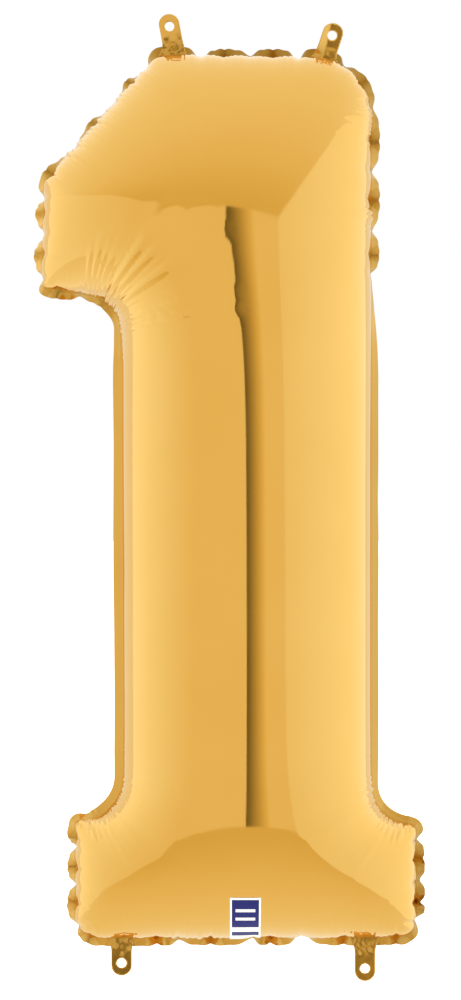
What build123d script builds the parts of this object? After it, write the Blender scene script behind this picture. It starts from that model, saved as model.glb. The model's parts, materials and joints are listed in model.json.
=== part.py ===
"""Foil number balloon, figure one, about one metre tall.

Two metallised films are welded face to face round a flat seam and blown up.  The seam lies in
the XZ plane, the front of the figure looks along -Y and +Z is up.  The origin is under the
middle of the balloon, at the height of its lowest tab.
"""
import os
from math import cos, radians, sin

from build123d import *

# ---- films and seam -------------------------------------------------------------------------
FILM = 0.6                 # wall of one film
FLANGE = 10.0              # welded border outside the seam
VALVE_FILM = 0.25          # wall of one valve strip
VALVE_ROOM = 0.02          # slack round a valve strip where it passes through the weld
BEAD = 0.5                 # how far the gas reaches past the outlines below
REACH = 1500.0             # longer than the balloon in every direction

# ---- inflated form, measured at the seam ----------------------------------------------------
STEM_LEFT = -105.5
STEM_RIGHT = 140.5
STEM_DEPTH = (STEM_RIGHT - STEM_LEFT) / 2
BOTTOM = 45.0
TOP_LEFT = (-72.0, 921.5)
TOP_RIGHT = (108.0, 915.5)
SHOULDER_RIGHT = 880.0     # where the right side turns in towards the top
NOSE_LEFT = -186.5
NOSE_TOP = 799.5
NOSE_BOTTOM = 692.0
FOOT_LEFT = -155.5
FOOT_RIGHT = 186.5
FOOT_BOTTOM = 47.0
FOOT_TOP = 163.0
FOOT_DEPTH = 72.0
INNER_CORNER = 55.0        # bend of the border where the stem meets the nose and the foot
OUTER_CORNER = 12.0

# ---- hanging tabs ---------------------------------------------------------------------------
TAB_WIDTH = 20.5
TAB_HOLE = 4.75            # radius
HOLE_TO_TIP = 12.5
HINGE_GAP = 0.3            # between the root of a tab and the stub it folds on
STUB_FLARE = 7.0           # how much wider the stub is, each side, where it joins the border
STUB_LENGTH = 14.0
# name: hole x, hole z, lean of the tab from straight up, hole to fold line
TABS = {
    "tab_top_left": (-60.0, 954.5, -10.8, 16.5),
    "tab_top_right": (102.7, 945.5, 18.5, 16.0),
    "tab_bottom_left": (-107.9, 18.0, 180.0, 14.0),
    "tab_bottom_right": (135.5, HOLE_TO_TIP, 180.0, 17.5),
}

# ---- valve and label ------------------------------------------------------------------------
VALVE_X = -31.5
VALVE_WIDTH = 45.0
VALVE_BOTTOM = BOTTOM - FLANGE + 1.0
VALVE_TOP = 165.0
LABEL_X = 15.5
LABEL_WIDTH = 30.0
LABEL_FROM = 8.0           # degrees round the balloon's lower end, from the seam
LABEL_TO = 44.0
LABEL_FILM = 0.2
LABEL_GAP = 0.02
DOWN = 270.0               # direction of the seam, seen from the middle of the lower end

HEAD = [
    (NOSE_LEFT, NOSE_BOTTOM),
    (STEM_RIGHT, NOSE_BOTTOM),
    (STEM_RIGHT, SHOULDER_RIGHT),
    TOP_RIGHT,
    TOP_LEFT,
    (NOSE_LEFT, NOSE_TOP),
]
STEM = [
    (STEM_LEFT, BOTTOM),
    (STEM_RIGHT, BOTTOM),
    (STEM_RIGHT, SHOULDER_RIGHT),
    TOP_RIGHT,
    TOP_LEFT,
    (STEM_LEFT, TOP_LEFT[1] - (TOP_LEFT[0] - STEM_LEFT) * (TOP_LEFT[1] - NOSE_TOP)
     / (TOP_LEFT[0] - NOSE_LEFT)),
]
FOOT = [
    (FOOT_LEFT, FOOT_BOTTOM),
    (FOOT_RIGHT, FOOT_BOTTOM),
    (FOOT_RIGHT, FOOT_TOP),
    (FOOT_LEFT, FOOT_TOP),
]
# corners of the welded border's outer edge, and how far each is rounded
BORDER = [
    ((FOOT_LEFT - FLANGE, BOTTOM - FLANGE), OUTER_CORNER),
    ((FOOT_RIGHT + FLANGE, BOTTOM - FLANGE), OUTER_CORNER),
    ((FOOT_RIGHT + FLANGE, FOOT_TOP + FLANGE), OUTER_CORNER),
    ((STEM_RIGHT + FLANGE, FOOT_TOP + FLANGE), INNER_CORNER / 2),
    ((STEM_RIGHT + FLANGE, SHOULDER_RIGHT + FLANGE / 3), OUTER_CORNER),
    ((TOP_RIGHT[0] + FLANGE / 2, TOP_RIGHT[1] + FLANGE), OUTER_CORNER),
    ((TOP_LEFT[0] - FLANGE / 2, TOP_LEFT[1] + FLANGE), OUTER_CORNER),
    ((NOSE_LEFT - FLANGE, NOSE_TOP + FLANGE / 2), OUTER_CORNER),
    ((NOSE_LEFT - FLANGE, NOSE_BOTTOM - FLANGE), OUTER_CORNER),
    ((STEM_LEFT - FLANGE, NOSE_BOTTOM - FLANGE), INNER_CORNER),
    ((STEM_LEFT - FLANGE, FOOT_TOP + FLANGE), INNER_CORNER / 2),
    ((FOOT_LEFT - FLANGE, FOOT_TOP + FLANGE), OUTER_CORNER),
]

FRONT = Plane.XZ           # sketches drawn here read as seen from the front


def cushion(corners, rounding, depth, grow):
    """Front half of the gas space over one convex outline, grown outward by grow.

    Each side of the outline gives a bar whose section is a quarter ellipse, and the form is
    what all the bars have in common.
    """
    with BuildPart() as body:
        following = corners[1:] + corners[:1]
        for (x0, z0), (x1, z1) in zip(corners, following):
            side = Vector(x1 - x0, 0, z1 - z0).normalized()
            inward = Vector(-side.Z, 0, side.X)
            section = Plane(origin=(x0, 0, z0), x_dir=inward, z_dir=side)
            with BuildSketch(section):
                with BuildLine():
                    EllipticalCenterArc((rounding, 0), rounding + grow, depth + grow, 90, arc_size=90)
                    Polyline(
                        (rounding, depth + grow),
                        (REACH, depth + grow),
                        (REACH, 0),
                        (-grow, 0),
                    )
                make_face()
            mode = Mode.INTERSECT if body.part else Mode.ADD
            extrude(amount=REACH, both=True, mode=mode)
    return body.part


def gas_space(grow):
    """Front half of the whole gas space: head, stem and foot blown into one another."""
    forms = [
        cushion(HEAD, STEM_DEPTH, STEM_DEPTH, grow),
        cushion(STEM, STEM_DEPTH, STEM_DEPTH, grow),
        cushion(FOOT, (FOOT_TOP - FOOT_BOTTOM) / 2, FOOT_DEPTH, grow),
    ]
    with BuildPart() as space:
        for form in forms:
            add(form)
    return space.part


def fold_line(name):
    """Plane of a tab: origin in the middle of its fold, x along the fold, y up the tab."""
    hole_x, hole_z, lean, reach = TABS[name]
    along = Vector(sin(radians(lean)), 0, cos(radians(lean)))
    across = Vector(cos(radians(lean)), 0, -sin(radians(lean)))
    origin = Vector(hole_x, 0, hole_z) - along * reach
    return Plane(origin=origin, x_dir=across, z_dir=(0, -1, 0))


def tab(name):
    """One hanging tab: both films welded together, a round tip, a hole and a round root."""
    plane = fold_line(name)
    reach = TABS[name][3]
    half = TAB_WIDTH / 2
    tip_centre = reach + HOLE_TO_TIP - half
    with BuildPart() as body:
        with BuildSketch(plane):
            with BuildLine():
                Polyline((-half, tip_centre), (-half, 0), (half, 0), (half, tip_centre))
                RadiusArc((-half, tip_centre), (half, tip_centre), half)
            make_face()
            with Locations((0, reach)):
                Circle(TAB_HOLE, mode=Mode.SUBTRACT)
        extrude(amount=FILM, both=True)
        with BuildSketch(Plane(origin=plane.origin, z_dir=plane.x_dir)):
            Circle(FILM)
        extrude(amount=half, both=True)
    return body.part


envelope_outside = gas_space(BEAD + FILM)
envelope_inside = gas_space(BEAD)

with BuildPart() as front_film:
    with BuildSketch(FRONT):
        with BuildLine():
            FilletPolyline(*[corner for corner, _ in BORDER],
                           radius=[bend for _, bend in BORDER], close=True)
        make_face()
        for name in TABS:
            plane = fold_line(name)
            root = HINGE_GAP + FILM
            half = TAB_WIDTH / 2
            stub = [
                (-half, -root),
                (half, -root),
                (half + STUB_FLARE, -STUB_LENGTH),
                (-half - STUB_FLARE, -STUB_LENGTH),
            ]
            corners = [FRONT.to_local_coords(plane.from_local_coords(point)) for point in stub]
            with BuildLine():
                Polyline(*corners, close=True)
            make_face()
    extrude(amount=FILM)
    add(envelope_outside)
    add(envelope_inside, mode=Mode.SUBTRACT)
    with BuildSketch(FRONT):
        with Locations((VALVE_X, (VALVE_BOTTOM + VALVE_TOP) / 2)):
            Rectangle(VALVE_WIDTH + 2 * VALVE_ROOM, VALVE_TOP - VALVE_BOTTOM + 2 * VALVE_ROOM)
    extrude(amount=VALVE_FILM + VALVE_ROOM, mode=Mode.SUBTRACT)
front_film.part.label = "front_film"

with BuildPart() as back_film:
    add(front_film.part)
    mirror(about=Plane.XZ, mode=Mode.REPLACE)
back_film.part.label = "back_film"

with BuildPart() as valve_front:
    with BuildSketch(FRONT):
        with Locations((VALVE_X, (VALVE_BOTTOM + VALVE_TOP) / 2)):
            Rectangle(VALVE_WIDTH, VALVE_TOP - VALVE_BOTTOM)
    extrude(amount=VALVE_FILM)
valve_front.part.label = "valve_front"

with BuildPart() as valve_back:
    add(valve_front.part)
    mirror(about=Plane.XZ, mode=Mode.REPLACE)
valve_back.part.label = "valve_back"

with BuildPart() as label_patch:
    roll_centre = (0, BOTTOM + STEM_DEPTH)
    under = STEM_DEPTH + BEAD + FILM + LABEL_GAP
    with BuildSketch(Plane.YZ.offset(LABEL_X - LABEL_WIDTH / 2)):
        with BuildLine():
            sweep_angle = LABEL_FROM - LABEL_TO
            inner = CenterArc(roll_centre, under, DOWN - LABEL_FROM, sweep_angle)
            outer = CenterArc(roll_centre, under + LABEL_FILM, DOWN - LABEL_FROM, sweep_angle)
            Line(inner @ 0, outer @ 0)
            Line(inner @ 1, outer @ 1)
        make_face()
    extrude(amount=LABEL_WIDTH)
label_patch.part.label = "label_patch"

tabs = []
for name in TABS:
    piece = tab(name)
    piece.label = name
    tabs.append(piece)

films = [front_film.part, back_film.part]
fittings = [valve_front.part, valve_back.part, label_patch.part]
os.makedirs("parts", exist_ok=True)
for piece in films + fittings + tabs:
    export_step(piece, f"parts/{piece.label}.step")
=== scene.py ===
"""Looks of a gold foil number balloon, figure one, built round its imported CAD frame.

The two films are meshes over the inflated form: a smooth rounded surface that closes on the seam,
gathered and creased along the seam as welded film is.  Everything is in metres in the frame shared with the CAD.
"""

import json
import math

import bpy
import numpy as np
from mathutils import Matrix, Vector
from mathutils.bvhtree import BVHTree
from mathutils.geometry import delaunay_2d_cdt
from mathutils.kdtree import KDTree


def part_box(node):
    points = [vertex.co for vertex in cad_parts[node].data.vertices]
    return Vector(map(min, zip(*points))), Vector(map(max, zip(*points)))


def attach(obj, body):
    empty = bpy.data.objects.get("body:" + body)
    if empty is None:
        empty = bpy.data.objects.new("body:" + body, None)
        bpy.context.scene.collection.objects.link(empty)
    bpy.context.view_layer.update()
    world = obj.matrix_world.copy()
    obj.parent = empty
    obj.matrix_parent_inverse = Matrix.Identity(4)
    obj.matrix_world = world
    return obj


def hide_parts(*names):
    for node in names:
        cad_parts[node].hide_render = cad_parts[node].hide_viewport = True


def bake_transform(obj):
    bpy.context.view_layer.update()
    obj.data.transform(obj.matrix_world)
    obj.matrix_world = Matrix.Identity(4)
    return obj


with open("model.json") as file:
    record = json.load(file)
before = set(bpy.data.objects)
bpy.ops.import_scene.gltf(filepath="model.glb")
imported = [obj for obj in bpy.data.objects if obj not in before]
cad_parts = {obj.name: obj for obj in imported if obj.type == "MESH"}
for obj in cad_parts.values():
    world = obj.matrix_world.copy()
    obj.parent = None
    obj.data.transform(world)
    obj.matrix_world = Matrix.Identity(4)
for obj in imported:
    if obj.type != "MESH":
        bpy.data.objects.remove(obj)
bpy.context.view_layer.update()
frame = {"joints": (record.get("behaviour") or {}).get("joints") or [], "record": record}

MM = 0.001

# ---- sizes taken from the frame ----
BORDER = 0.010  # width of the welded border outside the seam
film_low, film_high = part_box("front_film")
NOSE_X = film_low.x + BORDER  # seam at the tip of the nose
FOOT_X = film_high.x - BORDER  # seam at the right end of the foot
FOOT_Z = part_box("valve_front")[0].z + 0.009  # seam along the bottom, over the valve's end
STEM_WIDTH = 0.2475  # between the stem's two seams
STEM_R = FOOT_X - 0.045
STEM_L = STEM_R - STEM_WIDTH
ROUND = STEM_WIDTH / 2  # radius of the blown-up stem
TAB_ROOTS = np.array([(joint["pos_m"][0], joint["pos_m"][2]) for joint in frame["joints"]])
LAYER = 0.00015  # half the gap between the two films in the border

# corners of the inflated seam, anticlockwise seen from the front: x, z, bend radius
SEAM = [
    (NOSE_X + 0.032, FOOT_Z - 0.001, 0.022),
    (FOOT_X + 0.0005, FOOT_Z, 0.018),
    (FOOT_X + 0.0005, FOOT_Z + 0.110, 0.006),
    (STEM_R, FOOT_Z + 0.120, 0.040),
    (STEM_R, FOOT_Z + 0.877, 0.060),
    (STEM_L + 0.0335, FOOT_Z + 0.880, 0.014),
    (NOSE_X + 0.001, FOOT_Z + 0.753, 0.010),
    (NOSE_X - 0.002, FOOT_Z + 0.648, 0.008),
    (STEM_L - 0.002, FOOT_Z + 0.637, 0.038),
    (STEM_L, FOOT_Z + 0.116, 0.045),
    (NOSE_X + 0.032, FOOT_Z + 0.115, 0.005),
]
# the same corners on the flat sheet before it is blown up
FLAT = [
    (-0.210, -0.017, 0.020),
    (0.250, -0.017, 0.020),
    (0.255, 0.130, 0.010),
    (0.210, 0.150, 0.045),
    (0.212, 0.983, 0.110),
    (-0.085, 0.983, 0.030),
    (-0.285, 0.815, 0.020),
    (-0.284, 0.705, 0.012),
    (-0.180, 0.695, 0.060),
    (-0.180, 0.150, 0.045),
    (-0.215, 0.140, 0.010),
]


# ---- outlines ----
def ease(x):
    x = np.clip(x, 0, 1)
    return x * x * (3 - 2 * x)


def rounded(corners, step):
    """Closed outline through rounded corners; returns points and, for each, its corner number."""
    points = []
    anchors = []
    count = len(corners)
    for i in range(count):
        before, here, after = (np.array(corners[k % count][:2]) for k in (i - 1, i, i + 1))
        bend = corners[i][2]
        a = (before - here) / np.linalg.norm(before - here)
        b = (after - here) / np.linalg.norm(after - here)
        half = math.acos(np.clip(a @ b, -1, 1)) / 2
        centre = here + (a + b) / np.linalg.norm(a + b) * bend / math.sin(half)
        start = here + a * bend / math.tan(half) - centre
        end = here + b * bend / math.tan(half) - centre
        first = math.atan2(start[1], start[0])
        turn = (math.atan2(end[1], end[0]) - first + math.pi) % (2 * math.pi) - math.pi
        pieces = 2 * max(2, math.ceil(abs(turn) * bend / step / 2))
        anchors.append(len(points) + pieces // 2)
        for k in range(pieces + 1):
            angle = first + turn * k / pieces
            points.append(centre + bend * np.array([math.cos(angle), math.sin(angle)]))
    return np.array(points), anchors


def along(loop):
    """Length along a closed loop at each point, with the whole length last."""
    closed = np.vstack([loop, loop[:1]])
    return np.concatenate([[0], np.cumsum(np.linalg.norm(np.diff(closed, axis=0), axis=1))])


def at_lengths(loop, lengths):
    """Points of a closed loop at given lengths along it."""
    total = along(loop)
    closed = np.vstack([loop, loop[:1]])
    lengths = np.mod(lengths, total[-1])
    return np.stack([np.interp(lengths, total, closed[:, k]) for k in range(2)], 1)


def even(loop, step):
    """The same closed loop in steps of one length."""
    total = along(loop)[-1]
    return at_lengths(loop, np.linspace(0, total, int(total / step), endpoint=False))


def matched(step):
    """The flat outline in even steps, and the inflated outline's point for each of them."""
    flat, flat_anchor = rounded(FLAT, 0.001)
    full, full_anchor = rounded(SEAM, 0.001)
    flat_at, full_at = along(flat), along(full)
    flat_key = np.array([flat_at[i] for i in flat_anchor] + [flat_at[-1] + flat_at[flat_anchor[0]]])
    full_key = np.array([full_at[i] for i in full_anchor] + [full_at[-1] + full_at[full_anchor[0]]])
    count = int(round(flat_at[-1] / step))
    lengths = flat_key[0] + np.arange(count) * flat_at[-1] / count
    return at_lengths(flat, lengths), at_lengths(full, np.interp(lengths, flat_key, full_key))


def inside(loop, points):
    """Whether each point lies inside the closed loop."""
    x, z = points[:, :1], points[:, 1:]
    x0, z0 = loop.T
    x1, z1 = np.roll(loop, -1, 0).T
    crosses = (z0 > z) != (z1 > z)
    at = (x1 - x0) * (z - z0) / np.where(z1 == z0, 1e-12, z1 - z0) + x0
    return np.sum(crosses & (x < at), axis=1) % 2 == 1


class Loop:
    """A closed outline that finds the nearest place on itself."""

    def __init__(self, points):
        self.points = points
        self.at = along(points)
        self.length = self.at[-1]
        self.tree = KDTree(len(points))
        for i, p in enumerate(points):
            self.tree.insert((p[0], p[1], 0), i)
        self.tree.balance()

    def nearest(self, places):
        """Distance to the outline and the length along it, for each place."""
        index = np.array([self.tree.find((p[0], p[1], 0))[1] for p in places])
        count = len(self.points)
        best = np.full(len(places), np.inf)
        where = np.zeros(len(places))
        for shift in (-1, 0):
            i = (index + shift) % count
            a = self.points[i]
            b = self.points[(i + 1) % count]
            ab = b - a
            t = np.clip(((places - a) * ab).sum(1) / (ab ** 2).sum(1), 0, 1)
            gap = np.linalg.norm(places - a - ab * t[:, None], axis=1)
            closer = gap < best
            best = np.where(closer, gap, best)
            where = np.where(closer, self.at[i] + t * (self.at[i + 1] - self.at[i]), where)
        return best, where


# ---- the inflated surface ----
class Pillow:
    """Smooth inflated surface over the seam: y squared is a height whose curvature is even.

    The height solves Poisson's equation inside the seam and is zero on it.  Over the stem that
    is an exact circle, and it rounds off by itself at the ends, the nose and the foot.
    """
    CELL = 0.0025
    MARGIN = 0.015
    SOFT = 0.020

    def __init__(self, loop):
        self.loop = loop
        low = loop.points.min(0) - self.MARGIN
        high = loop.points.max(0) + self.MARGIN
        self.low = low
        nx, nz = (int(n) + 2 for n in (high - low) / self.CELL)
        gx, gz = np.meshgrid(low[0] + np.arange(nx) * self.CELL,
                             low[1] + np.arange(nz) * self.CELL, indexing="ij")
        nodes = np.stack([gx.ravel(), gz.ravel()], 1)
        gap, _ = loop.nearest(nodes)
        coarse = loop.points[::3]
        within = np.concatenate([inside(coarse, part) for part in np.array_split(nodes, 40)])
        depth = np.where(within, gap, -gap).reshape(nx, nz)
        height = self.solve(depth)
        soft = self.SOFT * np.tanh(depth / self.SOFT)
        known = depth > 0.3 * self.CELL
        ratio = np.where(known, height / np.where(known, soft, 1), 0)
        for _ in range(8):
            total = np.zeros_like(ratio)
            weight = np.zeros_like(ratio)
            for dx in (-1, 0, 1):
                for dz in (-1, 0, 1):
                    total += np.roll(np.where(known, ratio, 0), (dx, dz), (0, 1))
                    weight += np.roll(known.astype(float), (dx, dz), (0, 1))
            grown = ~known & (weight > 0)
            ratio[grown] = total[grown] / weight[grown]
            known = known | grown
        self.height = ratio * soft
        self.depth = depth

    def solve(self, depth):
        """Conjugate gradients on the grid, with the seam's true place between two nodes."""
        free = depth > 0
        diagonal = np.zeros_like(depth)
        links = []
        for shift, axis in ((1, 0), (-1, 0), (1, 1), (-1, 1)):
            beside = np.roll(depth, shift, axis)
            share = np.where(beside > 0, 1.0, depth / np.where(depth - beside == 0, 1, depth - beside))
            diagonal += np.where(beside > 0, 1.0, 1 / np.clip(share, 0.05, 1))
            links.append((shift, axis))
        diagonal = np.where(free, diagonal, 1)

        def apply(u):
            out = diagonal * u
            for shift, axis in links:
                out -= np.roll(u, shift, axis)
            return np.where(free, out, 0)

        right = np.where(free, 2 * self.CELL ** 2, 0.0)
        u = np.zeros_like(depth)
        r = right - apply(u)
        z = r / diagonal
        p = z.copy()
        rz = (r * z).sum()
        stop = 1e-8 * math.sqrt((right ** 2).sum())
        for _ in range(3000):
            ap = apply(p)
            alpha = rz / (p * ap).sum()
            u += alpha * p
            r -= alpha * ap
            if math.sqrt((r ** 2).sum()) < stop:
                break
            z = r / diagonal
            new = (r * z).sum()
            p = z + new / rz * p
            rz = new
        return u

    def sample(self, grid, x, z):
        """Smooth value of a grid and its slope, by a cubic through four nodes each way."""
        fx = (x - self.low[0]) / self.CELL
        fz = (z - self.low[1]) / self.CELL
        ix = np.clip(np.floor(fx).astype(int), 1, grid.shape[0] - 3)
        iz = np.clip(np.floor(fz).astype(int), 1, grid.shape[1] - 3)
        wx, sx = cubic(fx - ix)
        wz, sz = cubic(fz - iz)
        value = np.zeros_like(x)
        slope_x = np.zeros_like(x)
        slope_z = np.zeros_like(x)
        for i in range(4):
            for k in range(4):
                g = grid[ix + i - 1, iz + k - 1]
                value += wx[i] * wz[k] * g
                slope_x += sx[i] * wz[k] * g
                slope_z += wx[i] * sz[k] * g
        return value, slope_x / self.CELL, slope_z / self.CELL

    def settle(self, p, rounds=3):
        """Moves points onto the surface, and gives its outward direction there."""
        p = p.copy()
        for _ in range(rounds):
            u, ux, uz = self.sample(self.height, p[:, 0], p[:, 2])
            slope = np.stack([ux, -2 * p[:, 1], uz], 1)
            p -= slope * ((u - p[:, 1] ** 2) / np.maximum((slope ** 2).sum(1), 1e-9))[:, None]
        _, ux, uz = self.sample(self.height, p[:, 0], p[:, 2])
        out = -np.stack([ux, -2 * p[:, 1], uz], 1)
        return p, out / np.linalg.norm(out, axis=1)[:, None]


def cubic(t):
    """Weights of four neighbours for a smooth curve through them, and the weights' slopes."""
    value = [
        ((-t + 2) * t - 1) * t / 2,
        ((3 * t - 5) * t) * t / 2 + 1,
        ((-3 * t + 4) * t + 1) * t / 2,
        (t - 1) * t * t / 2,
    ]
    slope = [
        (-3 * t + 4) * t / 2 - 0.5,
        (9 * t - 10) * t / 2,
        (-9 * t + 8) * t / 2 + 0.5,
        (3 * t - 2) * t / 2,
    ]
    return value, slope


# ---- the film's mesh ----
COARSE = 0.0109  # side of the film's triangles before they are split


def triangles(points, rims, count):
    """Triangles between the rims, all turned the same way; the first count points are the outline."""
    out = delaunay_2d_cdt([Vector(p) for p in points], rims, [list(range(count))], 1, 1e-7)
    source = [o[0] for o in out[3]]
    faces = np.array([[source[k] for k in face] for face in out[2]])
    a, b, c = (points[faces[:, k]] for k in range(3))
    turned = np.cross(b - a, c - a) < 0
    faces[turned] = faces[turned][:, ::-1]
    return faces


def lattice(step):
    """Triangles over the flat sheet, with the place of each edge point on the inflated seam."""
    edge, seam = matched(step)
    low, high = edge.min(0), edge.max(0)
    rise = step * math.sqrt(3) / 2
    rows = np.arange(int((high[1] - low[1]) / rise) + 2)
    columns = np.arange(int((high[0] - low[0]) / step) + 2)
    grid = np.array([(low[0] + (c + 0.5 * (r % 2)) * step, low[1] + r * rise)
                     for r in rows for c in columns])
    grid = grid[inside(edge, grid)]
    gap, _ = Loop(edge).nearest(grid)
    grid = grid[gap > 0.62 * step]
    points = np.vstack([edge, grid])
    count = len(edge)
    ring = [(i, (i + 1) % count) for i in range(count)]
    return points, triangles(points, ring, count), seam


def sides_of(faces):
    """Every triangle's first, second and third side, as sorted pairs of points."""
    return np.sort(np.vstack([faces[:, [0, 1]], faces[:, [1, 2]], faces[:, [2, 0]]]), 1)


def edges_of(faces):
    return np.unique(sides_of(faces), axis=0)


def joined(faces, count):
    """The edges, and how many of them meet in each point."""
    edges = edges_of(faces)
    return edges, np.bincount(edges.ravel(), minlength=count).astype(float)


def neighbour_mean(points, edges, degree):
    total = np.empty_like(points)
    a, b = edges.T
    for k in range(points.shape[1]):
        total[:, k] = (np.bincount(a, points[b, k], len(points))
                       + np.bincount(b, points[a, k], len(points)))
    return total / degree[:, None]


def relax(pillow, points, faces, held, rounds):
    """Spreads the points evenly over the surface, with the seam's points held."""
    edges, degree = joined(faces, len(points))
    for _ in range(rounds):
        mean = neighbour_mean(points, edges, degree)
        moved = points + 0.7 * (mean - points)
        moved, _ = pillow.settle(moved, 1)
        points = np.where(held[:, None], points, moved)
    return points


def first_shape(pillow, flat, faces, seam):
    """Film over the inflated form: evenly spread inside the seam, then lifted onto it."""
    count = len(seam)
    edges, degree = joined(faces, len(flat))
    places = flat.copy()
    places[:count] = seam
    spin = places.copy()
    for k in range(400):
        mean = neighbour_mean(places, edges, degree)
        new = mean + (0.97 if k else 0) * (places - spin)
        spin = places.copy()
        places[count:] = new[count:]
    gap, slope_x, slope_z = pillow.sample(pillow.depth, places[:, 0], places[:, 1])
    reach = np.clip(gap / ROUND, 0, 1)
    new_gap = ROUND * (1 - np.cos(reach * math.pi / 2))
    shift = np.where(gap < ROUND, new_gap - gap, 0)
    shift[:count] = 0
    places = places + np.stack([slope_x, slope_z], 1) * shift[:, None]
    u, _, _ = pillow.sample(pillow.height, places[:, 0], places[:, 1])
    y = -np.sqrt(np.maximum(u, 0))
    y[:count] = 0
    return np.stack([places[:, 0], y, places[:, 1]], 1)


def refine(points, faces, held, marked):
    """Splits the marked triangles in four and closes up their neighbours."""
    edges, number = np.unique(sides_of(faces), axis=0, return_inverse=True)
    number = number.reshape(3, -1).T
    split = np.zeros(len(edges), bool)
    split[number[marked].ravel()] = True
    while True:
        twice = split[number].sum(1) == 2
        if not twice.any():
            break
        split[number[twice].ravel()] = True
    middle = np.full(len(edges), -1)
    middle[split] = len(points) + np.arange(split.sum())
    a, b = edges[split].T
    uses = np.bincount(number.ravel(), minlength=len(edges))
    on_rim = uses[split] == 1
    points = np.vstack([points, (points[a] + points[b]) / 2])
    held = np.concatenate([held, on_rim])
    m = middle[number]
    hits = (m >= 0).sum(1)
    out = [faces[hits == 0]]
    f, n = faces[hits == 3], m[hits == 3]
    out += [np.stack(t, 1) for t in (
        (f[:, 0], n[:, 0], n[:, 2]), (n[:, 0], f[:, 1], n[:, 1]),
        (n[:, 2], n[:, 1], f[:, 2]), (n[:, 0], n[:, 1], n[:, 2]))]
    for k in range(3):
        one = (hits == 1) & (m[:, k] >= 0)
        f, n = faces[one], m[one, k]
        i, j, other = f[:, k], f[:, (k + 1) % 3], f[:, (k + 2) % 3]
        out += [np.stack([i, n, other], 1), np.stack([n, j, other], 1)]
    return points, np.vstack(out), held


def film_mesh(pillow, gathers):
    """Front film without folds: points, triangles and which points lie on the seam."""
    flat, faces, seam = lattice(COARSE)
    points = first_shape(pillow, flat, faces, seam)
    held = np.arange(len(points)) < len(seam)
    points = relax(pillow, points, faces, held, 120)
    for most, extra, share, rounds in ((1.0, 0, 1, 20), (0.050, 0.022, 1, 8), (0.008, 0, 0.72, 4)):
        _, s = pillow.loop.nearest(points[:, [0, 2]])
        limit = np.maximum(most, share * gathers.fine_reach(s) + extra)
        marked = (arc_from_seam(pillow, points) < limit)[faces].any(1)
        points, faces, held = refine(points, faces, held, marked)
        points[held] = on_seam(pillow, points[held])
        points = relax(pillow, points, faces, held, rounds)
    return points, faces, held


def on_seam(pillow, points):
    """Seam points pulled exactly onto the outline."""
    _, where = pillow.loop.nearest(points[:, [0, 2]])
    flat = at_lengths(pillow.loop.points, where)
    return np.stack([flat[:, 0], np.zeros(len(flat)), flat[:, 1]], 1)


def arc_from_seam(pillow, points):
    """Distance over the film from the seam, taken round a circle of the stem's radius."""
    gap, _, _ = pillow.sample(pillow.depth, points[:, 0], points[:, 2])
    return ROUND * np.arctan2(np.abs(points[:, 1]), ROUND - np.clip(gap, 0, ROUND))


# ---- gathers, creases and the welded border ----
RIDGE = 1.6  # scale of all fine gathers
# stretches of pinched seam: side, from, to, how many pinches, how strong
PINCHES = [
    (0, 0, 1, 11, .80), (1, 0, 1, 5, .85), (2, 0, 1, 1, .20), (3, 0, .65, 2, 0), (3, .7, 1, 8, .65),
    (4, 0, 1, 8, .85), (5, 0, 1, 6, .75), (6, 0, 1, 5, .85), (7, 0, 1, 3, .45), (8, 0, 1, 3, .05),
    (9, 0, 1, 2, .25), (10, 0, 1, 6, .80),
]
PINCH_SEED = 11
# stretches of fine gathers: side, from, to, then in mm: spacing, height, reach seen from the front
GATHERS = [
    (0, .02, .25, 6.0, .25, 9),
    (0, .25, .43, 6.6, .80, 13),
    (0, .43, .57, 7.0, .10, 8),
    (0, .57, .97, 6.5, .35, 12),
    (1, .00, .90, 9.0, .10, 6),
    (2, .10, 1.0, 4.5, 1.1, 17),
    (3, .00, .05, 4.5, 1.1, 17),
    (3, .05, .12, 8.0, .15, 12),
    (3, .78, .81, 4.5, .90, 14),
    (3, .895, .955, 5.0, .90, 14),
    (3, .955, 1.0, 4.5, .70, 11),
    (4, .00, .20, 4.5, .90, 13),
    (4, .20, .93, 5.5, .45, 18),
    (5, .10, .37, 6.0, .95, 28),
    (5, .37, .83, 5.0, .85, 18),
    (5, .83, 1.0, 6.0, .40, 12),
    (6, .00, 1.0, 7.0, .12, 6),
    (7, .10, .60, 6.0, .20, 15),
    (7, .60, 1.0, 4.2, 1.2, 38),
    (8, .00, .06, 4.2, 1.2, 45),
    (8, .06, .11, 6.0, .50, 30),
    (8, .86, .93, 5.0, .25, 10),
    (8, .93, 1.0, 4.0, .95, 15),
    (9, .00, .90, 4.0, .95, 15),
    (10, .0, 1.0, 8.0, .10, 6),
]
# long single creases: side, share, depth and reach seen from the front, in mm
CREASES = [
    (7, .95, .5, 70), (8, .03, .7, 95), (7, .75, .5, 45), (8, .985, .8, 60), (3, .03, .5, 30),
    (3, .075, .5, 12), (4, .43, .6, 16), (3, .942, .6, 26), (5, .15, .7, 25), (5, .37, .7, 22),
]
TILT = math.radians(62)  # most that the border leans out of the seam's plane
PULL = 3.0 * MM  # how far a pinch draws the seam in
SWAY = 1.6 * MM  # how far the seam wanders out of its plane
# share of the border's width that shows from the front on each side: the rest leans back
SHOWN = [0.95, 0.95, 0.75, 0.80, 0.85, 0.35, 0.65, 0.75, 0.95, 0.85, 0.65]
# how dull the weld is on each side, and how much painted shade darkens its colour there
WELD_DULL_AND_SHADE = [0.30, 0.55, 0.35, 0.40, 0.80, 0.50, 0.10, 0.40, 0.15, 0.25, 0.15]
# how much each side of the border is crumpled, in mm
CRUMPLED = [0.22, 0.28, 0.20, 0.06, 0.26, 0.22, 0.22, 0.15, 0.02, 0.15, 0.22]


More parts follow.
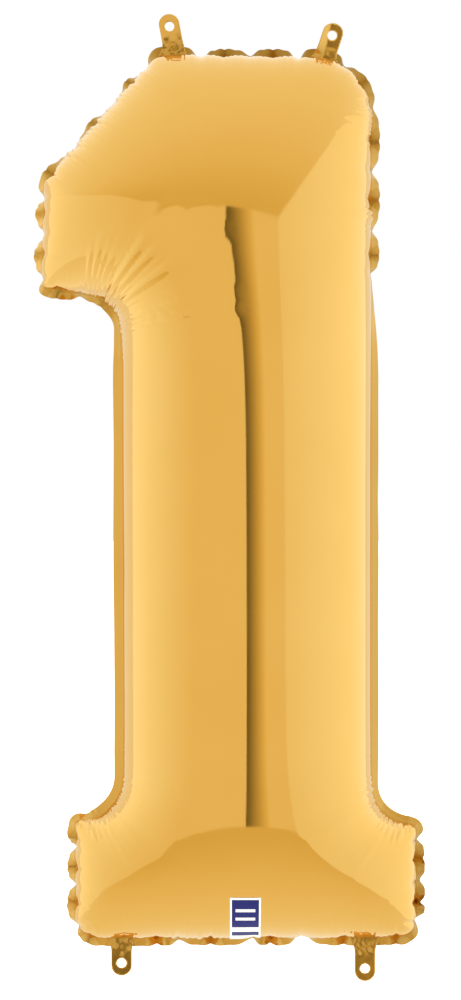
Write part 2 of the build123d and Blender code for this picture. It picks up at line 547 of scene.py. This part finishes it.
TAB_CLEAR = 18 * MM  # how far to each side of a tab's root the border stays flat
FOLLOW = 32 * MM  # how far over the film the seam's shifts are followed
CALM = 9 * MM  # distance in which gathers die out where the nearest seam jumps
PINCH_HALF = 5 * MM  # how far along the seam a pinch pulls
EDGE_SEED, CRUMPLE_SEED, TAB_SEED = 17, 21, 31


def over_film(reach):
    """Length over the round film of a reach seen from the front."""
    return ROUND * np.arccos(np.clip(1 - np.asarray(reach) / ROUND, -1, 1))


class Gathers:
    """How the film is gathered along the seam, as functions of the length along the seam."""

    def __init__(self, loop, corner_at):
        self.loop = loop
        self.corner_at = corner_at
        rng = np.random.default_rng(PINCH_SEED)
        pinches = []
        for side, start, end, count, strength in PINCHES:
            # evenly spaced, each moved by up to a quarter of the spacing
            steps = (np.arange(count) + 0.5 + rng.uniform(-0.25, 0.25, count)) / count
            strengths = np.minimum(strength * rng.uniform(0.75, 1.2, count), 1)
            for share, own in zip(start + steps * (end - start), strengths):
                pinches.append((self.at(side, share), own))
        self.pinch_at, self.pinch_strength = np.array(sorted(pinches)).T
        rng = np.random.default_rng(PINCH_SEED)
        self.pinch_lean = rng.uniform(-0.3, 0.3, len(pinches))
        self.tab_at = loop.nearest(TAB_ROOTS)[1]

    def offset(self, s):
        """A difference of two lengths along the seam, taken the short way round."""
        return (s + self.loop.length / 2) % self.loop.length - self.loop.length / 2

    def off_tabs(self, s):
        """Zero at the root of a tab, where the border lies flat, and one away from it."""
        share = np.ones(len(s))
        for at in self.tab_at:
            share *= 1 - np.exp(-(self.offset(s - at) / TAB_CLEAR) ** 4)
        return share

    def lean_back(self, s):
        """Angle that the border leans back by, so that less of it shows from the front."""
        return self.by_side(np.arccos(SHOWN), s)

    def by_side(self, values, s):
        """A value given for each side, level along the side and smooth round the corners."""
        marks = np.array([self.at(side, share) for side in range(len(values))
                          for share in (0.12, 0.88)])
        order = np.argsort(marks)
        return np.interp(s, marks[order], np.repeat(values, 2)[order], period=self.loop.length)

    def fine_reach(self, s):
        """How far over the film the gathers go, at each length along the seam."""
        far = np.full(len(s), 8 * MM)
        for side, start, end, _, _, reach in GATHERS:
            begin, finish = self.at(side, start), self.at(side, end)
            span = (finish - begin) % self.loop.length
            within = np.mod(s - begin, self.loop.length) <= span
            far = np.where(within, np.maximum(far, 1.1 * over_film(reach * MM)), far)
        return far

    def at(self, side, share):
        start = self.corner_at[side]
        end = self.corner_at[(side + 1) % len(self.corner_at)]
        if end < start:
            end += self.loop.length
        return (start + share * (end - start)) % self.loop.length

    def spans(self, marks, s):
        """For each length, the mark before it, the share of the way to the next, the width."""
        index = np.searchsorted(marks, s, side="right") - 1
        start = marks[index % len(marks)]
        end = marks[(index + 1) % len(marks)]
        width = np.mod(end - start, self.loop.length)
        share = np.mod(s - start, self.loop.length) / width
        return index % len(marks), np.clip(share, 0, 1), width

    def pinch(self, s):
        """Nearest pinch's pull, the strength around, the lean from -1 to 1, and the span."""
        index, share, width = self.spans(self.pinch_at, s)
        after = (index + 1) % len(self.pinch_at)
        here, there = self.pinch_strength[index], self.pinch_strength[after]
        strength = here * (1 - share) + there * share
        left = here * np.exp(-share * width / PINCH_HALF)
        right = there * np.exp(-(1 - share) * width / PINCH_HALF)
        swing = np.cos(math.pi * share)
        swing *= np.where(index % 2 == 0, 1, -1) * np.abs(swing) ** 1.3
        lean = swing * strength
        lean += (self.pinch_lean[index] * (1 - share) + self.pinch_lean[after] * share) * strength
        return left + right, strength, lean, share, width

    def seam_shift(self, s):
        """Where the seam goes from its smooth outline: drawn in, and out of its plane."""
        pull, _, lean, _, _ = self.pinch(s)
        return PULL * pull * self.off_tabs(s), SWAY * lean * self.off_tabs(s)

    def relief(self, s, reach, spread, seed):
        """Height of the gathers over the smooth film, for one of the two films.

        Spread is how far apart lines square to the seam are, against their distance on it.
        """
        rng = np.random.default_rng(seed)
        _, strength, _, share, width = self.pinch(s)
        puff = np.sin(math.pi * share) ** 0.7
        height = 0.030 * np.minimum(width, 0.045) * strength * puff
        height *= np.exp(-(reach / (0.9 * np.minimum(width, 0.045) + 12 * MM)) ** 2)

        marks, tall, long = [], [], []
        for side, start, end, spacing, ridge, far in GATHERS:
            begin, finish = self.at(side, start), self.at(side, end)
            span = (finish - begin) % self.loop.length
            count = max(2, int(round(span / (spacing * MM))))
            steps = rng.uniform(0.6, 1.4, count)
            edges = begin + np.concatenate([[0], np.cumsum(steps) / steps.sum()]) * span
            marks += list(edges[:-1])
            tall += list(RIDGE * ridge * MM * rng.uniform(0.35, 1.3, count) * steps)
            long += list(over_film(far * MM * rng.uniform(0.45, 1.35, count)))
            marks.append(edges[-1] - 1e-7)
            tall.append(0.0)
            long.append(MM)
        marks = np.mod(np.array(marks), self.loop.length)
        order = np.argsort(marks)
        marks, tall, long = marks[order], np.array(tall)[order], np.array(long)[order]
        index, share, width = self.spans(marks, s)
        ridge = np.abs(np.sin(math.pi * share)) ** 0.8
        fade = np.exp(-(reach / long[index]) ** 1.8)
        height += tall[index] * ridge * fade * spread

        creases = [(self.at(side, share), depth, far) for side, share, depth, far in CREASES]
        for at, depth, far in creases + self.pinch_creases(rng):
            off = self.offset(s - at - rng.uniform(-0.12, 0.12) * reach)
            wide = (0.9 * MM + 0.012 * reach) * spread
            near = np.abs(off) < 5 * wide
            groove = np.exp(-(off[near] / wide[near]) ** 2)
            groove -= 0.5 * np.exp(-(off[near] / wide[near] / 2.5) ** 2)
            fade = np.exp(-(reach[near] / over_film(far * MM)) ** 2)
            height[near] -= depth * MM * groove * fade
        return height * (1 - np.exp(-reach / (1.2 * MM)))

    def pinch_creases(self, rng):
        return [(at, 0.7 * strength, rng.uniform(8, 18))
                for at, strength in zip(self.pinch_at, self.pinch_strength) if strength > 0.3]


def clearance(s, points, edges, length):
    """Distance of each point from where the nearest part of the seam jumps."""
    a, b = edges.T
    jump = np.abs(s[a] - s[b])
    jump = np.minimum(jump, length - jump)
    gap = np.linalg.norm(points[a] - points[b], axis=1)
    marked = np.unique(edges[jump > 6 * gap + 4 * MM])
    tree = KDTree(len(marked))
    for i in marked:
        tree.insert(points[i], int(i))
    tree.balance()
    return np.array([tree.find(p)[2] for p in points])


def spacing(loop, s, gap):
    """How much lines square to the seam have drawn together or apart at a distance from it."""
    reach = 12 * MM
    before, here, after = (at_lengths(loop.points, s + shift) for shift in (-reach, 0, reach))
    a, b = here - before, after - here
    turn = np.arctan2(a[:, 0] * b[:, 1] - a[:, 1] * b[:, 0], (a * b).sum(1))
    return np.clip(1 - turn / reach * gap, 0.3, 2.2)


def gathered(pillow, gathers, points, faces, held, side, seed):
    """The film with its gathers, and the seam's points in order along it.

    Side is -1 for the front film and 1 for the back one, its mirror image but for the gathers.
    """
    gap, s = pillow.loop.nearest(points[:, [0, 2]])
    reach = arc_from_seam(pillow, points)
    _, out = pillow.settle(points, 1)
    clear = clearance(s, points, edges_of(faces), pillow.loop.length)
    spread = spacing(pillow.loop, s, gap)
    height = gathers.relief(s, reach, spread, seed) * ease(clear / CALM)
    pull, sway = gathers.seam_shift(s)
    _, ux, uz = pillow.sample(pillow.depth, points[:, 0], points[:, 2])
    inward = np.stack([ux, uz], 1)
    inward /= np.maximum(np.linalg.norm(inward, axis=1), 1e-6)[:, None]
    follow = np.exp(-(reach / FOLLOW) ** 1.5) * np.where(held, 1, ease(clear / CALM))
    moved = points + out * height[:, None]
    moved[:, 0] += inward[:, 0] * pull * follow
    moved[:, 2] += inward[:, 1] * pull * follow
    moved[:, 1] = sway * follow - side * moved[:, 1]
    rim = np.flatnonzero(held)
    rim = rim[np.argsort(s[rim])]
    return moved, rim, s[rim]


def crumple(x, z, seed, waves=9, shortest=5 * MM, longest=14 * MM):
    """Uneven facets, as of handled foil, from -1 to 1."""
    rng = np.random.default_rng(seed)
    total = np.zeros(np.shape(x))
    for _ in range(waves):
        angle = rng.uniform(0, math.pi)
        length = rng.uniform(shortest, longest)
        phase = (x * math.cos(angle) + z * math.sin(angle)) / length + rng.uniform()
        total += np.abs(np.mod(phase, 1) * 2 - 1) * 2 - 1
    return total / waves * 1.8


def border_at(gathers, s, out_by, layer):
    """Points of the welded border at lengths along the seam and distances outside it."""
    step = 0.5 * MM
    base = at_lengths(gathers.loop.points, s)
    ahead = (at_lengths(gathers.loop.points, s + step) - at_lengths(gathers.loop.points, s - step))
    ahead /= np.linalg.norm(ahead, axis=1)[:, None]
    outward = np.stack([ahead[:, 1], -ahead[:, 0]], 1)
    pull, sway = gathers.seam_shift(s)
    _, _, lean, _, _ = gathers.pinch(s)
    base = base - outward * pull[:, None]
    away = gathers.off_tabs(s)
    tilt = (TILT * lean + gathers.lean_back(s)) * ease(0.25 + out_by / (5 * MM)) * away
    across = out_by * np.cos(tilt) + layer * np.sin(tilt)
    depth = sway + out_by * np.sin(tilt) - layer * np.cos(tilt)
    place = base + outward * across[:, None]
    crumpled = gathers.by_side(CRUMPLED, s) * MM * ease(out_by / (3 * MM))
    depth += crumpled * crumple(place[:, 0], place[:, 1], CRUMPLE_SEED)
    return np.stack([place[:, 0], depth, place[:, 1]], 1)


def border_rows(gathers, s, layer):
    rng = np.random.default_rng(EDGE_SEED)
    ragged = 1 - 0.12 * rng.random(40)
    share = np.interp(s, np.linspace(0, gathers.loop.length, 40), ragged)
    return [border_at(gathers, s, share * out_by * MM, layer)
            for out_by in (0.8, 2.2, 4.0, 6.0, 8.0, 10.0)]


def film_object(name, pillow, gathers, mesh, side, seed, material):
    """One film: its gathered form and, outside the seam, its half of the border."""
    points, faces, held = mesh
    moved, rim, s = gathered(pillow, gathers, points, faces, held, side, seed)
    rows = border_rows(gathers, s, -side * LAYER)
    count = len(rim)
    start = len(moved)
    all_points = [moved] + rows
    index = [rim] + [start + k * count + np.arange(count) for k in range(len(rows))]
    strips = []
    for inner, outer in zip(index, index[1:]):
        a, b = inner, np.roll(inner, -1)
        c, d = np.roll(outer, -1), outer
        strips += [np.stack([a, d, c], 1), np.stack([a, c, b], 1)]
    everything = np.vstack([faces] + strips)
    if side > 0:
        everything = everything[:, ::-1]
    film = mesh_object(name, np.vstack(all_points), everything, material)
    # painted shade: the border's colour is darkened by side, more where a pinch creases it, and a little less on
    # the seam itself; the same value also makes the weld rougher
    dull_and_shade = np.zeros(start + len(rows) * count)
    pinched = gathers.pinch(s)[0]
    dull_and_shade[start:] = np.tile(np.clip(gathers.by_side(WELD_DULL_AND_SHADE, s) + 0.45 * pinched, 0, 1), len(rows))
    dull_and_shade[rim] = 0.8 * dull_and_shade[start:start + count]
    mark(film, "dull_and_shade", dull_and_shade)
    return film


def mark(piece, name, values):
    layer = piece.data.attributes.new(name, "FLOAT", "POINT")
    layer.data.foreach_set("value", values.astype(np.float32))


def grid_object(name, points, material):
    """Open sheet through a grid of points."""
    rows, columns = points.shape[:2]
    first = np.arange(rows * columns).reshape(rows, columns)
    faces = np.stack([first[:-1, :-1], first[1:, :-1], first[1:, 1:], first[:-1, 1:]], -1)
    return mesh_object(name, points.reshape(-1, 3), faces.reshape(-1, 4), material)


# ---- tabs, label and valve ----
TAB_WIDTH = 0.0205
HOLE_TO_TIP = 0.0125
HOLE = 0.00475  # radius
TAB_THICK = 0.0006
ROOT_HALF = 0.0150  # half of a tab's root, along the seam
LABEL_FROM = math.radians(5)  # round the lower end, from the seam
LABEL_TO = math.radians(51)
LABEL_PROUD = 0.25 * MM


def tab_outline(gathers, fold, tip):
    """Outline of a tab, from its flared root along the seam to its round tip and back."""
    along_tab = (tip - fold) / np.linalg.norm(tip - fold)
    across = np.array([along_tab[1], -along_tab[0]])
    half = TAB_WIDTH / 2
    _, s = gathers.loop.nearest(fold[None])
    root = at_lengths(gathers.loop.points, s + np.linspace(-ROOT_HALF, ROOT_HALF, 31))
    away = (fold - at_lengths(gathers.loop.points, s))[0]
    root = root + away / np.linalg.norm(away) * 0.4 * MM
    if (root[-1] - root[0]) @ across < 0:
        root = root[::-1]
    side = fold + across * half + along_tab * 3 * MM
    other = fold - across * half + along_tab * 3 * MM
    t = np.linspace(0, 1, 14)[1:, None]
    right_bend = fold + across * half - along_tab * 5 * MM
    left_bend = fold - across * half - along_tab * 5 * MM
    right = (1 - t) ** 2 * root[-1] + 2 * t * (1 - t) * right_bend + t ** 2 * side
    left = (1 - t) ** 2 * root[0] + 2 * t * (1 - t) * left_bend + t ** 2 * other
    middle = tip - along_tab * half
    angle = np.linspace(0, math.pi, 28)[:, None]
    round_tip = middle + across * half * np.cos(angle) + along_tab * half * np.sin(angle)
    outline = np.vstack([root, right, round_tip, left[::-1]])
    return even(outline, 1.0 * MM), along_tab, across


def tab_object(name, gathers, joint, hole, twist, folded, material):
    """Hanging tab: both films welded flat, creased at its root, with a round tip and a hole."""
    fold = np.array([joint["pos_m"][0], joint["pos_m"][2]])
    hole = np.array([hole[0], hole[2]])
    up = (hole - fold) / np.linalg.norm(hole - fold)
    outline, up, across = tab_outline(gathers, fold, hole + up * HOLE_TO_TIP)
    angle = np.linspace(0, 2 * math.pi, 30, endpoint=False)[:, None]
    ring = hole + HOLE * np.hstack([np.cos(angle), np.sin(angle)])
    low, high = outline.min(0), outline.max(0)
    step = 1.1 * MM
    x, z = np.meshgrid(np.arange(low[0], high[0], step), np.arange(low[1], high[1], step))
    grid = np.stack([x.ravel(), z.ravel()], 1)
    grid = grid[inside(outline, grid)]
    gap, _ = Loop(outline).nearest(grid)
    grid = grid[(gap > 0.6 * step) & (np.linalg.norm(grid - hole, axis=1) > HOLE + 0.6 * step)]
    flat = np.vstack([outline, ring, grid])
    n, m = len(outline), len(ring)
    rims = [(i, (i + 1) % n) for i in range(n)] + [(n + i, n + (i + 1) % m) for i in range(m)]
    faces = triangles(flat, rims, n)
    faces = faces[np.linalg.norm(flat[faces].mean(1) - hole, axis=1) > HOLE * 0.99]

    v = (flat - fold) @ up
    u = (flat - fold) @ across
    gap, s = gathers.loop.nearest(flat)
    welded = border_at(gathers, s, np.minimum(gap, BORDER), 0)[:, 1]
    seed = TAB_SEED + sum(map(ord, name))
    own = crumple(flat[:, 0], flat[:, 1], seed, 5, 6 * MM, 16 * MM)
    own = own * MM * (0.02 + 0.5 * np.exp(-((v + 5 * MM) / (7 * MM)) ** 2))
    own += 0.3 * MM * (v / 0.03) ** 2
    own -= twist * u
    if folded:
        own -= 0.55 * np.maximum(-2.5 * MM - u - 0.12 * v, 0)
    near_border = 1 - ease((gap - 0.4 * BORDER) / (0.7 * BORDER))
    depth = welded * near_border + own * (1 - 0.6 * near_border)
    thick = TAB_THICK / 2
    front_side = np.stack([flat[:, 0], depth - thick, flat[:, 1]], 1)
    back_side = np.stack([flat[:, 0], depth + thick, flat[:, 1]], 1)
    count = len(flat)
    rim = [(i, (i + 1) % n) for i in range(n)] + [(n + (i + 1) % m, n + i) for i in range(m)]
    walls = [(a, a + count, b + count) for a, b in rim] + [(a, b + count, b) for a, b in rim]
    faces = np.vstack([faces, faces[:, ::-1] + count, np.array(walls)])
    piece = mesh_object(name + "_skin", np.vstack([front_side, back_side]), faces, material)
    # painted shade towards the tab's root, where it creases into the weld: darker colour, together with the
    # weld's real roughness
    dull_and_shade = 0.12 + 0.30 * np.exp(-(np.maximum(v + 4 * MM, 0) / (8 * MM)) ** 2)
    mark(piece, "dull_and_shade", np.tile(dull_and_shade, 2))
    step = np.array([up[0], 0, up[1]]) * 1.5 * MM
    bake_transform(piece)
    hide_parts(name)


def label_object(skin, material):
    """Printed patch that follows the film over the round lower end."""
    low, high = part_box("label_patch")
    tree = BVHTree.FromPolygons([v.co for v in skin.data.vertices],
                                [p.vertices[:] for p in skin.data.polygons])
    rows = []
    for angle in np.linspace(LABEL_FROM, LABEL_TO, 56):
        out = Vector((0, -math.sin(angle), -math.cos(angle)))
        row = []
        for x in np.linspace(low.x, high.x, 26):
            centre = Vector((x, 0, FOOT_Z + ROUND))
            hit, _, _, _ = tree.ray_cast(centre + out * (ROUND + 0.03), -out)
            row.append(hit + out * LABEL_PROUD)
        rows.append(row)
    points = np.array(rows)
    piece = grid_object("label_skin", points[::-1], material)
    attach(piece, "envelope")
    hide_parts("label_patch")


def valve_object(node, gathers, side, material):
    """One strip of the self-sealing valve: welded in at the mouth, loose inside the balloon."""
    low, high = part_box(node)
    rows = []
    for z in np.arange(low.z, high.z + 0.1 * MM, 1.5 * MM):
        x = np.linspace(low.x, high.x, 31)
        flat = np.stack([x, np.full(len(x), z)], 1)
        _, s = gathers.loop.nearest(flat)
        welded = border_at(gathers, s, np.full(len(x), max(FOOT_Z - z, 0.0)), side * -0.05 * MM)
        up = max(z - FOOT_Z, 0)
        loose = side * MM * (0.10 + 0.8 * ease(up / 0.05) * (1 - ease((up - 0.05) / 0.08)))
        loose = loose + 2.5 * MM * ease(up / 0.06) * np.sin(up / 0.03) * np.cos((x - low.x) / 0.02)
        share = ease(up / 0.012)
        place = np.stack([x, welded[:, 1] * (1 - share) + loose * share,
                          np.where(up > 0, z, welded[:, 2])], 1)
        rows.append(place)
    points = np.array(rows)
    piece = grid_object(node + "_skin", points, material)
    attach(piece, "envelope")
    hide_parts(node)


def mesh_object(name, points, faces, material):
    mesh = bpy.data.meshes.new(name)
    mesh.from_pydata(points.tolist(), [], faces.tolist())
    mesh.polygons.foreach_set("use_smooth", [True] * len(mesh.polygons))
    mesh.materials.append(material)
    piece = bpy.data.objects.new(name, mesh)
    bpy.context.scene.collection.objects.link(piece)
    return piece


# ---- materials ----
GOLD = (0.935, 0.572, 0.155, 1)
PALE_GOLD = (0.955, 0.598, 0.172, 1)
# painted shade: the dark brown that the weld's colour is darkened towards
WELD_SHADE_BROWN = (0.37, 0.20, 0.032, 1)
DARK_BLUE = (0.010, 0.014, 0.15, 1)


def new_material(name):
    material = bpy.data.materials.new(name)
    material.use_nodes = True
    nodes, links = material.node_tree.nodes, material.node_tree.links
    return material, nodes, links, nodes["Principled BSDF"]


def node(nodes, kind, **values):
    made = nodes.new(kind)
    for key, value in values.items():
        if key in made.inputs:
            made.inputs[key].default_value = value
        else:
            setattr(made, key, value)
    return made


def blended(nodes, links, share, first, second):
    """Colour that goes from a linked first colour to a plain second one."""
    mix = nodes.new("ShaderNodeMix")
    mix.data_type = "RGBA"
    a, b = (next(i for i in mix.inputs if i.name == name and i.type == "RGBA") for name in "AB")
    links.new(first, a)
    b.default_value = second
    links.new(share, mix.inputs["Factor"])
    return next(o for o in mix.outputs if o.type == "RGBA")


def ramp(nodes, links, share, first, second, start=0.0, end=1.0):
    made = nodes.new("ShaderNodeValToRGB")
    for stop, place, colour in zip(made.color_ramp.elements, (start, end), (first, second)):
        stop.position = place
        stop.color = colour
    links.new(share, made.inputs["Fac"])
    return made.outputs["Color"]


def roughened(nodes, links, shader, height, strength, distance):
    made = node(nodes, "ShaderNodeBump", Strength=strength, Distance=distance)
    links.new(height, made.inputs["Height"])
    links.new(made.outputs["Normal"], shader.inputs["Normal"])


def gold_material():
    """Metallised film: warm gold, faint rolling marks and haze, duller at the weld, with painted shade darkening
    its colour there.
    """
    material, nodes, links, shader = new_material("gold_film")
    place = nodes.new("ShaderNodeTexCoord")
    dull_and_shade = node(nodes, "ShaderNodeAttribute", attribute_name="dull_and_shade")

    cloud = node(nodes, "ShaderNodeTexNoise", Scale=9.0, Detail=3.0, Roughness=0.55)
    links.new(place.outputs["Object"], cloud.inputs["Vector"])
    stretch = nodes.new("ShaderNodeMapping")
    stretch.inputs["Scale"].default_value = (260, 260, 9)
    links.new(place.outputs["Object"], stretch.inputs["Vector"])
    rolled = node(nodes, "ShaderNodeTexNoise", Scale=1.0, Detail=2.0, Roughness=0.6)
    links.new(stretch.outputs["Vector"], rolled.inputs["Vector"])
    scuff = node(nodes, "ShaderNodeTexNoise", Scale=420.0, Detail=4.0, Roughness=0.7)
    links.new(place.outputs["Object"], scuff.inputs["Vector"])

    tint = ramp(nodes, links, cloud.outputs["Fac"], GOLD, PALE_GOLD, 0.3, 0.7)
    # painted shade: the base colour goes towards dark brown as the weld value rises
    links.new(blended(nodes, links, dull_and_shade.outputs["Fac"], tint, WELD_SHADE_BROWN), shader.inputs["Base Color"])

    haze = node(nodes, "ShaderNodeMapRange")
    haze.inputs["From Min"].default_value = 0.35
    haze.inputs["From Max"].default_value = 0.7
    haze.inputs["To Min"].default_value = 0.045
    haze.inputs["To Max"].default_value = 0.080
    links.new(cloud.outputs["Fac"], haze.inputs["Value"])
    rough = node(nodes, "ShaderNodeMath", operation="MULTIPLY_ADD")
    rough.inputs[1].default_value = 0.28
    links.new(dull_and_shade.outputs["Fac"], rough.inputs[0])
    links.new(haze.outputs["Result"], rough.inputs[2])
    links.new(rough.outputs["Value"], shader.inputs["Roughness"])

    fine = node(nodes, "ShaderNodeMath", operation="MULTIPLY_ADD")
    links.new(scuff.outputs["Fac"], fine.inputs[0])
    fine.inputs[1].default_value = 0.35
    links.new(rolled.outputs["Fac"], fine.inputs[2])
    roughened(nodes, links, shader, fine.outputs["Value"], 0.05, 0.12 * MM)
    shader.inputs["Metallic"].default_value = 1
    return material


def label_material():
    """White print with a dark blue block and two bars, as a plain maker's patch with no words."""
    material, nodes, links, shader = new_material("label")
    place = nodes.new("ShaderNodeTexCoord")
    axes = nodes.new("ShaderNodeSeparateXYZ")
    links.new(place.outputs["Generated"], axes.inputs["Vector"])

    def join(operation, a, b):
        made = node(nodes, "ShaderNodeMath", operation=operation)
        links.new(a, made.inputs[0])
        if isinstance(b, float):
            made.inputs[1].default_value = b
        else:
            links.new(b, made.inputs[1])
        return made.outputs["Value"]

    def band(socket, low, high):
        return join("MULTIPLY", join("GREATER_THAN", socket, low), join("LESS_THAN", socket, high))

    across, up = axes.outputs["X"], axes.outputs["Z"]
    inner = band(across, 0.06, 0.94)
    block = join("MULTIPLY", inner, band(up, 0.36, 0.955))
    stripes = join("ADD", band(up, 0.52, 0.58), band(up, 0.70, 0.76))
    block = join("SUBTRACT", block, join("MULTIPLY", band(across, 0.18, 0.82), stripes))
    bar = join("MULTIPLY", inner, band(up, 0.15, 0.25))
    ink = join("MAXIMUM", block, bar)
    grain = node(nodes, "ShaderNodeTexNoise", Scale=900.0, Detail=2.0)
    links.new(place.outputs["Object"], grain.inputs["Vector"])
    paper = ramp(nodes, links, grain.outputs["Fac"], (0.80, 0.80, 0.82, 1), (0.92, 0.92, 0.93, 1))
    links.new(blended(nodes, links, ink, paper, DARK_BLUE), shader.inputs["Base Color"])
    shader.inputs["Roughness"].default_value = 0.4
    shader.inputs["Specular IOR Level"].default_value = 0.2
    roughened(nodes, links, shader, grain.outputs["Fac"], 0.15, 0.1 * MM)
    return material


def valve_material():
    """Cloudy clear film."""
    material, nodes, links, shader = new_material("valve_film")
    place = nodes.new("ShaderNodeTexCoord")
    cloud = node(nodes, "ShaderNodeTexNoise", Scale=60.0, Detail=3.0)
    links.new(place.outputs["Object"], cloud.inputs["Vector"])
    milk = ramp(nodes, links, cloud.outputs["Fac"], (0.66, 0.68, 0.66, 1), (0.85, 0.86, 0.84, 1))
    links.new(milk, shader.inputs["Base Color"])
    shader.inputs["Roughness"].default_value = 0.25
    shader.inputs["Alpha"].default_value = 0.6
    return material


# ---- room ----
# Six plain soft panels. RIGHT, LEFT, TOP and LOWER: brightness at the front edge, at the back edge.
ROOM_LOW = Vector((-3.2, -3.2, -1.3))
ROOM_HIGH = Vector((2.2, 2.6, 1.75))
RIGHT = (0.85, 1.15)
LEFT = (0.75, 1.10)
TOP = (0.60, 1.10)
LOWER = (0.60, 1.00)
FRONT = 0.75
BACK = 0.85
GAP = 0.10  # in the gap of the front panel, where the camera stands
GAP_FADE = 1.0  # how far right of the gap the front panel is bright again
DIM_TINT = np.array([1.25, 1.00, 0.45])  # a dim panel is warm
BRIGHT_TINT = np.array([1.00, 1.00, 0.95])  # and a bright one is white


def mixed(first, second, share):
    return first + (second - first) * share


def deep(tones):
    """Glow of a panel that runs from the front to the back of the room."""
    near, far = tones
    return lambda y: mixed(near, far, ease((y - ROOM_LOW.y) / (ROOM_HIGH.y - ROOM_LOW.y)))


def front_glow(x):
    """Two soft boxes: the left one ends at the camera, and the right one fades towards it."""
    return np.where(x < 0, FRONT, mixed(GAP, FRONT, np.clip(x / GAP_FADE, 0, 1)))


def panel(name, corner, across, up, axis, glow, material, step=0.05):
    """Flat soft light, seen in reflections and not by the camera; its glow varies along one axis."""
    corner, across, up = Vector(corner), Vector(across), Vector(up)
    wide, tall = int(across.length / step), int(up.length / step)
    i, k = np.meshgrid(np.arange(wide + 1) / wide, np.arange(tall + 1) / tall, indexing="ij")
    points = np.array(corner) + np.outer(i.ravel(), across) + np.outer(k.ravel(), up)
    screen = grid_object(name, points.reshape(wide + 1, tall + 1, 3), material)
    level = glow(points[:, axis])[:, None]
    colour = np.ones((len(points), 4))
    colour[:, :3] = level * mixed(DIM_TINT, BRIGHT_TINT, ease((level - 0.5) / 0.5))
    layer = screen.data.color_attributes.new("glow", "FLOAT_COLOR", "POINT")
    layer.data.foreach_set("color", colour.ravel())
    screen.visible_camera = False
    screen.visible_shadow = False


def room():
    """Soft panels on all six sides, with a dark gap in front, for the foil to reflect."""
    material, nodes, links, shader = new_material("soft_panel")
    nodes.remove(shader)
    colour = nodes.new("ShaderNodeAttribute")
    colour.attribute_name = "glow"
    light = nodes.new("ShaderNodeEmission")
    links.new(colour.outputs["Color"], light.inputs["Color"])
    links.new(light.outputs["Emission"], nodes["Material Output"].inputs["Surface"])
    low, high = ROOM_LOW, ROOM_HIGH
    x, y, z = high - low
    panel("right panel", (high.x, low.y, low.z), (0, y, 0), (0, 0, z), 1, deep(RIGHT), material)
    panel("left panel", low, (0, y, 0), (0, 0, z), 1, deep(LEFT), material)
    panel("top panel", (low.x, low.y, high.z), (x, 0, 0), (0, y, 0), 1, deep(TOP), material)
    panel("lower panel", low, (x, 0, 0), (0, y, 0), 1, deep(LOWER), material)
    panel("front panel", low, (x, 0, 0), (0, 0, z), 0, front_glow, material, 0.03)
    panel("back panel", (low.x, high.y, low.z), (x, 0, 0), (0, 0, z), 0,
          lambda x: np.full(len(x), BACK), material)
    world = bpy.data.worlds.new("world")
    bpy.context.scene.world = world
    world.use_nodes = True
    world.node_tree.nodes["Background"].inputs["Color"].default_value = (1, 1, 1, 1)


def floor():
    material, _, _, shader = new_material("floor")
    shader.inputs["Base Color"].default_value = (0.9, 0.9, 0.9, 1)
    shader.inputs["Roughness"].default_value = 0.9
    shader.inputs["Emission Color"].default_value = (1, 1, 1, 1)
    shader.inputs["Emission Strength"].default_value = 1.0
    half = 30
    ground = mesh_object("floor", np.array([(-half, -half, 0), (half, -half, 0),
                                            (half, half, 0), (-half, half, 0)], float),
                         np.array([(0, 1, 2, 3)]), material)
    ground.visible_glossy = False


def camera():
    """Straight on, from 2.8 m, with the balloon's middle in the middle of the picture."""
    distance = 2.8
    lens = bpy.data.cameras.new("camera")
    eye = bpy.data.objects.new("camera", lens)
    bpy.context.scene.collection.objects.link(eye)
    eye.location = (0.001, -distance, 0.481)
    eye.rotation_euler = (math.pi / 2, 0, 0)
    lens.sensor_width = 36
    lens.lens = lens.sensor_width * distance
    bpy.context.scene.camera = eye


# ---- pieces ----
gold = gold_material()
outline, anchors = rounded(SEAM, 0.001)
outline_at = along(outline)
loop = Loop(even(outline, 0.0015))
pillow = Pillow(loop)
gathers = Gathers(loop, [outline_at[i] for i in anchors])
mesh = film_mesh(pillow, gathers)
front = film_object("front_film_skin", pillow, gathers, mesh, -1, 5, gold)
back = film_object("back_film_skin", pillow, gathers, mesh, 1, 6, gold)
for skin, film in ((front, "front_film"), (back, "back_film")):
    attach(skin, "envelope")
    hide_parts(film)

holes = {mount["name"]: mount["pos_m"] for mount in frame["record"]["mounts"]}
for joint in frame["joints"]:
    tab = joint["child"]
    twist = 0.05 if tab == "tab_bottom_left" else 0.0
    tab_object(tab, gathers, joint, holes[tab + "_hole"], twist, tab == "tab_top_right", gold)
label_object(front, label_material())
clear_film = valve_material()
valve_object("valve_front", gathers, -1, clear_film)
valve_object("valve_back", gathers, 1, clear_film)

room()
floor()
camera()
bpy.context.scene.view_settings.view_transform = "Standard"
